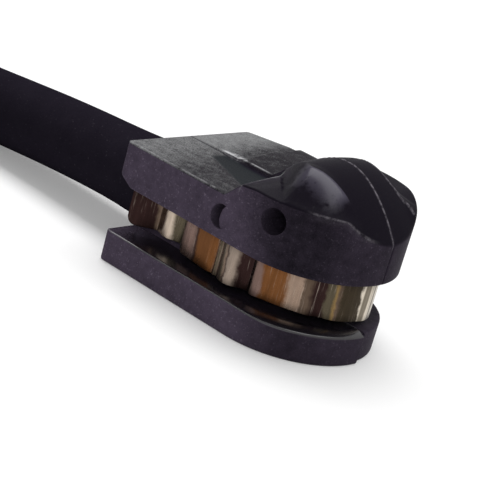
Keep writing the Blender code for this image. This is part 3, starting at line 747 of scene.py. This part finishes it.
def plan_body(bm, half_width, nose, low, high, fine=0.1, far_inset=0.0):
    """A closed body with straight sides and a round nose, with edges rounded top and bottom.

    The seam runs round the nose as a fine groove, and the far half may stand further in.
    """
    levels, seam_angle, seam_depth = 10, 0.5, 0.05
    centre = nose - half_width
    edge = [FILLET * (1 - math.cos(math.radians(a))) for a in (0, 22, 45, 67, 90)]
    count = max(round((half_width - edge[-1] - 0.06) / fine), 2)
    inner = list(np.linspace(half_width - edge[-1], 0.06, count + 1))
    radii = [half_width - e for e in edge[:-1]] + inner + [0.02, 0.0]
    radii.reverse()
    straight = edge[:-1] + list(np.linspace(edge[-1], centre, round(centre / fine) + 1))
    turns = sorted([*np.linspace(-90, 90, 91), -1.2, -0.7, -0.35, 0.35, 0.7, 1.2])

    def half_at(x):
        return half_width - (CORNER - math.sqrt(max(CORNER**2 - max(CORNER - x, 0) ** 2, 0)))

    def line(x):
        share = half_at(x) / half_width
        ys = [r * share for r in radii]
        ys = [-y for y in reversed(ys[1:])] + ys
        return [(x, y, min(x, half_at(x) - abs(y))) for y in ys]

    def ray(angle):
        turn = math.radians(angle)
        groove = seam_depth * bell(angle - seam_angle, 0.5)
        inset = groove + far_inset * smooth(0.2, 0.9, angle) * smooth(88, 60, angle)
        kept = 1 - inset / half_width
        return [
            (centre + kept * r * math.cos(turn), kept * r * math.sin(turn), half_width - r)
            for r in radii
        ]

    lines, rays = [line(x) for x in straight], [ray(t) for t in turns]
    for surface, sign in ((high, -1), (low, 1)):
        for rows in (lines, rays):
            sheet(bm, [[place(x, y, surface(x, y) + sign * fillet_drop(d)) for x, y, d in row]
                       for row in rows])
    rim = list(reversed(lines[0]))
    rim += [row[0] for row in lines[1:-1]] + [row[-1] for row in rays]
    rim += [row[-1] for row in reversed(lines[1:-1])] + [rim[0]]
    walls = []
    for level in np.linspace(0, 1, levels + 1):
        row = []
        for x, y, d in rim:
            bottom, top = low(x, y) + fillet_drop(d), high(x, y) - fillet_drop(d)
            row.append(place(x, y, bottom + (top - bottom) * level))
        walls.append(row)
    sheet(bm, walls)
    close(bm, 2e-7)


def ridge(x):
    """The hump's height along its middle."""
    if x < APEX_AT:
        return APEX - (APEX - DECK) * ((APEX_AT - x) / (APEX_AT - HUMP_AT)) ** 2
    return APEX - NOSE_DROP * ((x - APEX_AT) / (HEAD_LENGTH - APEX_AT)) ** 1.9


def deck_height(x, y, far):
    """The flat deck's height; its far half slopes up away from the seam."""
    raised = 0.33 * min(x / 3.5, 1.0) + 0.17 * smooth(4.0, 4.35, x)
    return DECK + far * raised * (0.3 + 0.7 * min(abs(y) / 2.7, 1.0))


def shoulder_height(x, far):
    """The height of the flat in front of the step, on the near or far side."""
    near = SHOULDER - 0.12 * smooth(9.9, 8.6, x)
    beyond = SHOULDER + 0.52 - 0.14 * max(x - 12.5, 0.0) ** 2
    return near + (beyond - near) * far


def plan_inset(x, y):
    """Distance in from the head's outline."""
    return HALF_WIDTH - math.hypot(max(x - HEAD_LENGTH + HALF_WIDTH, 0.0), y)


def hump_spread(x):
    """Half the width of the hump's foot, which widens from a point."""
    return max(HUMP_SPREAD * (x - HUMP_AT), 1e-3)


def crest_edge(x, near):
    """Half the width of the hump's crest, on its near or far side."""
    spread = hump_spread(x)
    if near:
        return min(between(x, (11.2, 13.8), (2.9, 2.4)), 0.62 * spread)
    return min(between(x, (12.9, 13.6, 14.0, 14.3), (1.9, 2.15, 2.4, 2.85)), 0.55 * spread)


def ragged(x, y, z=0.0, size=0.35):
    """Noise from 0 to 1 at a point of the head."""
    return 0.5 + 0.5 * noise.noise(Vector((x, y, z)) / size)


def crown_top(x, y):
    """The head's upper face: deck, step, shoulders and hump, with flash along its seam."""
    far = smooth(-0.03, 0.05, y)
    aside = abs(y)
    level = shoulder_height(x, far)
    crest = ridge(x) - 0.15 * min(aside / 2.3, 1.0) ** 2
    spread = hump_spread(x)
    wall = math.sqrt(max(HALF_WIDTH**2 - max(x - HEAD_LENGTH + HALF_WIDTH, 0.0) ** 2, 0.0))
    inner = crest_edge(x, y < 0)
    outer = min(spread, wall + 0.01)
    curve = 1.4 + 0.5 * smooth(11.5, 8.5, x)
    if y > 0:
        outer = min(outer, inner + 1.2)
    if aside > inner and crest > level:
        share = min((aside - inner) / max(outer - inner, 1e-3), 1.0)
        crest -= (crest - level) * (1 - (1 - share**curve) ** 1.3)
    if y > 0 and x > 10.8:
        crest += 0.035 * bell(aside - inner, 0.09)
    seam = FLASH_HEIGHT * bell(y, 0.045) * ragged(x, 0.0, 3.0, 0.16)
    if x > APEX_AT:
        return crest + seam
    sweep = STEP_SWEEP * (aside / HALF_WIDTH) ** 1.5
    rise = min(max((x - STEP_AT - sweep) / (STEP_LENGTH - 0.5 * sweep), 0.0), 1.0)
    rise = 0.75 * rise + 0.25 * rise * rise * (3 - 2 * rise)
    base = deck_height(x, y, far) * (1 - rise) + level * rise
    if x > HUMP_AT and aside < spread:
        base = max(base, crest)
    on_deck = 0.9 * smooth(2.4, 2.9, x) * smooth(4.9, 4.4, x)
    on_hump = 0.5 * smooth(7.2, 7.6, x) + 0.5 * smooth(9.2, 10.5, x)
    return base + seam * (on_deck + on_hump) + recess_edge(x, y)


def recess_edge(x, y):
    """How far the polished patch beside the seam lies below the near deck."""
    if y > 0 or x < 2.6 or x > 8.2:
        return 0.0
    inside = smooth(2.75, 3.0, x) * smooth(0.0, 0.2, 0.47 * (x - 2.9) + y + 1.25)
    return -0.05 * inside * smooth(8.1, 7.6, x)


def below_crest(point):
    """How far out from the hump's near crest edge a point lies."""
    x, y, _ = on_head(point)
    return -y - crest_edge(max(x, 9.0), True)


def dark_seam(point):
    """The fine dark groove along the deck's seam and down the nose."""
    x, y, z = on_head(point)
    if x > 14.8:
        return 0.9 * bell(y - 0.04, 0.06) * smooth(14.8, 15.1, x)
    if z < 7.0 or x > 7.6:
        return 0.0
    wide = 0.05 + 0.12 * smooth(4.0, 5.2, x)
    return bell(y + 0.03 + 0.6 * wide, wide)


def worn_line(point):
    """Thin pale lines, partly flash and partly painted highlight: flash along the deck's seam, and
    painted highlights along the hump's ridge over its flash, the crest's far edge, the step and
    the walls' top.
    """
    x, y, z = on_head(point)
    if z < 7.0 or z < crown_top(x, y) - FILLET - 0.02:
        return 0.0
    line = 0.0
    # Painted highlight along the hump's ridge, over its flash.
    if x > 7.3:
        line = 0.8 * bell(y, 0.06)
    elif x < 6.8:
        wide = 0.05 + 0.3 * ragged(x, y, 2.0, 0.12) * smooth(2.2, 3.0, x) * smooth(4.6, 3.8, x)
        line = bell(y - 0.1 - 0.5 * wide, wide) * smooth(2.2, 2.8, x)
        line *= smooth(6.8, 5.5, x)
    # Painted highlight along the crest's far edge.
    if y > 0 and 10.8 < x < 14.6:
        line = max(line, 0.8 * bell(y - crest_edge(x, False), 0.08))
    inset = plan_inset(x, y)
    # Painted highlight along the near wall's top edge at the nose.
    if y < 0 and 12.6 < x < 15.5:
        edge = 0.5 * bell(inset - 0.05, 0.035)
        line = max(line, edge * smooth(12.6, 13.4, x) * smooth(15.5, 15.2, x))
    # Painted highlight along the step's edge.
    if y < -1.2 and 7.6 < x < 9.2:
        step = STEP_AT + STEP_LENGTH + 0.5 * (y / HALF_WIDTH) ** 2
        line = max(line, 0.5 * bell(x - step, 0.07))
    # Painted highlight along the deck's edges.
    if 0.2 < x < 6.9:
        line = max(line, 0.25 * bell(inset - 0.12, 0.07))
    return line


def crown_floor(x, y):
    """The underside of the head's upper body, chamfered at the rear."""
    length, height = REAR_CHAMFER
    return UPPER_FLOOR + height * max(1 - x / length, 0.0)


def round_bar(bm, start, end, radius, segments):
    """A round bar between two points that differ in y alone."""
    return bmesh.ops.create_cone(
        bm, cap_ends=True, segments=segments, radius1=radius, radius2=radius,
        depth=(end - start).length,
        matrix=Matrix.Translation((start + end) / 2) @ Matrix.Rotation(math.pi / 2, 4, "X"),
    )["verts"]


def drill(name, x, z, diameter, depth):
    """A cutter into the near wall."""
    bm = bmesh.new()
    start, end = place(x, -HALF_WIDTH - 1, z), place(x, -HALF_WIDTH + depth, z)
    round_bar(bm, start, end, diameter / 2 * MM, 40)
    return loose(name, bm)


def foot_top(x, y):
    """The foot's upper face, its near edge rounded towards the nose, with a fine raised line."""
    inset = plan_inset(x, y)
    if y > 0:
        return FOOT_TOP - 0.04 + 0.05 * ragged(x, y, 5.0, 0.25) * smooth(13.0, 14.0, x)
    droop = 0.2 * max(1 - inset / 0.7, 0.0) ** 2 * smooth(9.5, 13.0, x)
    line = 0.035 * bell(inset - 0.75, 0.07) * smooth(9.8, 10.6, x)
    return FOOT_TOP - droop + line * smooth(14.2, 13.4, x) * ragged(x, y, 1.0, 0.3)


def add_flash_skin(bm):
    """The skin of flash that nearly fills the second hole, short of its rear side."""
    x, z, thickness = FLASH_SKIN["x"], FLASHED_HOLE["z"], FLASH_SKIN["thickness"]
    outer, ragged_by = -HALF_WIDTH + 0.05, 0.07
    start, end = place(x, outer, z), place(x, outer + thickness, z)
    for v in round_bar(bm, start, end, FLASH_SKIN["radius"] * MM, 48):
        v.co.x += ragged_by * MM * (ragged(*(v.co / MM), 0.2) - 0.5) * 2


def make_head():
    """The moulded head: its drilled upper body, its foot, and the web between them."""
    bm = bmesh.new()
    plan_body(bm, HALF_WIDTH, HEAD_LENGTH, crown_floor, crown_top)
    crown = loose("crown", bm)
    bpy.context.collection.objects.link(crown)
    cut(crown, [drill("pin_hole", **PIN_HOLE), drill("flashed_hole", **FLASHED_HOLE)])
    bm = bmesh.new()
    bm.from_mesh(crown.data)
    bpy.data.objects.remove(crown, do_unlink=True)
    add_flash_skin(bm)
    plan_body(
        bm, HALF_WIDTH, HEAD_LENGTH, lambda x, y: 0.0, foot_top, fine=0.16, far_inset=0.2,
    )
    outside = set(bm.verts)
    web_low, web_high, web_set_in = 1.2, 5.6, 0.03
    plan_body(
        bm, WEB_HALF_WIDTH, HEAD_LENGTH - HALF_WIDTH + WEB_HALF_WIDTH,
        lambda x, y: web_low, lambda x, y: web_high, fine=0.6,
    )
    web = [v for v in bm.verts if v not in outside]
    bmesh.ops.translate(bm, vec=(web_set_in * MM, 0, 0), verts=web)
    keep(
        "sensor_head", bm, HEAD_PLASTIC, "moulded_plastic", 45, "sensor_body",
        worn_line=worn_line, below_crest=below_crest, dark_seam=dark_seam,
    )


make_head()


# Spring strip

def strip_line():
    """The strip's outer face in plan on the near side, from its flared rear end to the nose."""
    return [
        (0.65, -4.47), (1.1, -4.28), (1.6, -3.82), (2.05, -3.38), (2.35, -3.42), (2.8, -3.6),
        (3.2, -3.62), (3.5, -3.45), (3.85, -3.32), (4.15, -3.4), (4.4, -3.72), (4.95, -3.86),
        (5.4, -3.92), (6.4, -4.06), (7.0, -4.12), (7.25, -4.04), (7.45, -4.14), (7.65, -4.08),
        (7.87, -4.24), (8.2, -4.36), (8.5, -4.42), (8.85, -4.32), (9.12, -4.08), (9.35, -3.83),
        (9.7, -3.72), (10.0, -3.87), (10.3, -3.88), (10.7, -3.7), (11.5, -3.42), (12.3, -3.05),
        (12.9, -2.72), (13.2, -2.5), (13.42, -2.2), (13.65, -1.95), (13.95, -1.72),
        (14.3, -1.35), (14.6, -0.7), (14.75, 0.0),
    ]


def make_spring():
    """The wavy strip round the groove, bulging on the far side of the nose."""
    near = strip_line()
    beyond = [(14.88, 0.6), (14.72, 1.3), (14.29, 1.94), (13.75, 2.35)]
    beyond_from = 13.4
    outline = near[:-1] + [(14.78, 0.0)] + beyond
    outline += [(x, -y) for x, y in reversed(near) if x < beyond_from]
    line = spline_points([(x, y, 0) for x, y in outline], 0.1)
    top, thick, bevel = STRIP_TOP, STRIP_THICKNESS, STRIP_EDGE
    narrow_to, narrow_by = 4.4, 0.25
    rear, rounding, rounded_by = 0.65, 0.5, 0.4
    rows = []
    for i, point in enumerate(line):
        ahead = (line[min(i + 1, len(line) - 1)] - line[max(i - 1, 0)]).normalized()
        inward = Vector((-ahead.y, ahead.x, 0))
        low = STRIP_BOTTOM + narrow_by * smooth(narrow_to + 0.1, narrow_to - 0.1, point.x)
        corner = min(max(1 - (point.x - rear) / rounding, 0.0), 1.0)
        low += rounded_by * (1 - math.sqrt(1 - corner * corner))
        ring = [
            (0, low + bevel), (0, top - bevel), (bevel, top), (thick - bevel, top),
            (thick, top - bevel), (thick, low + bevel), (thick - bevel, low), (bevel, low),
            (0, low + bevel),
        ]
        rows.append([place(*(point + inward * deep).xy, z) for deep, z in ring])
    bm = bmesh.new()
    solid_along(bm, rows)
    close(bm)
    table = np.array(line)
    half = len(line) // 2

    def way_along(point):
        """The share of the way from the nearer rear end to the nose."""
        spot = np.array(on_head(point)[:2])
        at = int(np.argmin(((table[:, :2] - spot) ** 2).sum(1)))
        return min(at, len(line) - 1 - at) / half

    keep(
        "spring_strip", bm, BRONZE, "spring_bronze", 30, "retaining_spring",
        way_along=way_along,
    )


make_spring()


# Materials of the pieces that stay as the CAD has them

def dress():
    """Gives the pieces that stay as the CAD has them their materials."""
    for part in frame["record"]["subparts"]:
        piece = bpy.data.objects.get(part["node"])
        if piece and part["material_slot"] in FINISHES:
            piece.data.materials.clear()
            piece.data.materials.append(FINISHES[part["material_slot"]])


dress()


# Floor and light

def make_floor():
    """A plain pale floor, lifted to white where it is seen, that keeps the shadow."""
    bm = bmesh.new()
    bmesh.ops.create_grid(bm, x_segments=1, y_segments=1, size=1.5)
    floor = loose("floor", bm)
    bpy.context.collection.objects.link(floor)
    f = Finish("pale_floor", Roughness=0.9)
    f.give(Base_Color=(0.82, 0.82, 0.82))
    seen = f.node("LightPath", output="Is Camera Ray")
    for ray in ("Is Glossy Ray", "Is Transmission Ray"):
        seen = seen + f.node("LightPath", output=ray)
    f.give(Emission_Color=(1, 1, 1), Emission_Strength=seen * 0.2)
    floor.data.materials.append(f.material)


def make_world():
    """White wherever it is seen, and a softer level of light on the object."""
    object_light, seen_light = 0.4, 1.0
    world = bpy.data.worlds.new("studio")
    bpy.context.scene.world = world
    world.use_nodes = True
    tree = world.node_tree
    shade = tree.nodes["Background"]
    path = tree.nodes.new("ShaderNodeLightPath")
    seen = path.outputs["Is Camera Ray"]
    for ray in ("Is Glossy Ray", "Is Transmission Ray"):
        both = tree.nodes.new("ShaderNodeMath")
        tree.links.new(seen, both.inputs[0])
        tree.links.new(path.outputs[ray], both.inputs[1])
        seen = both.outputs[0]
    level = tree.nodes.new("ShaderNodeMapRange")
    tree.links.new(seen, level.inputs[0])
    level.inputs[3].default_value = object_light
    level.inputs[4].default_value = seen_light
    tree.links.new(level.outputs[0], shade.inputs["Strength"])
    shade.inputs["Color"].default_value = (1, 1, 1, 1)


def add_lamp(name, place_at, aim, size, power):
    """A rectangular softbox that faces a point."""
    lamp = bpy.data.lights.new(name, "AREA")
    lamp.shape, lamp.energy = "RECTANGLE", power
    lamp.size, lamp.size_y = size
    made = bpy.data.objects.new(name, lamp)
    bpy.context.collection.objects.link(made)
    made.location = place_at
    made.rotation_euler = (Vector(place_at) - Vector(aim)).to_track_quat("Z", "Y").to_euler()


make_floor()
make_world()
add_lamp(
    "softbox_above", place_at=(-0.13, 0.1, 0.5), aim=(-0.13, 0.1, 0.0),
    size=(0.62, 0.3), power=2.4,
)
add_lamp(
    "softbox_front", place_at=(0.25, -0.5, 0.25), aim=(0, 0, 0.005),
    size=(0.4, 0.4), power=0.5,
)
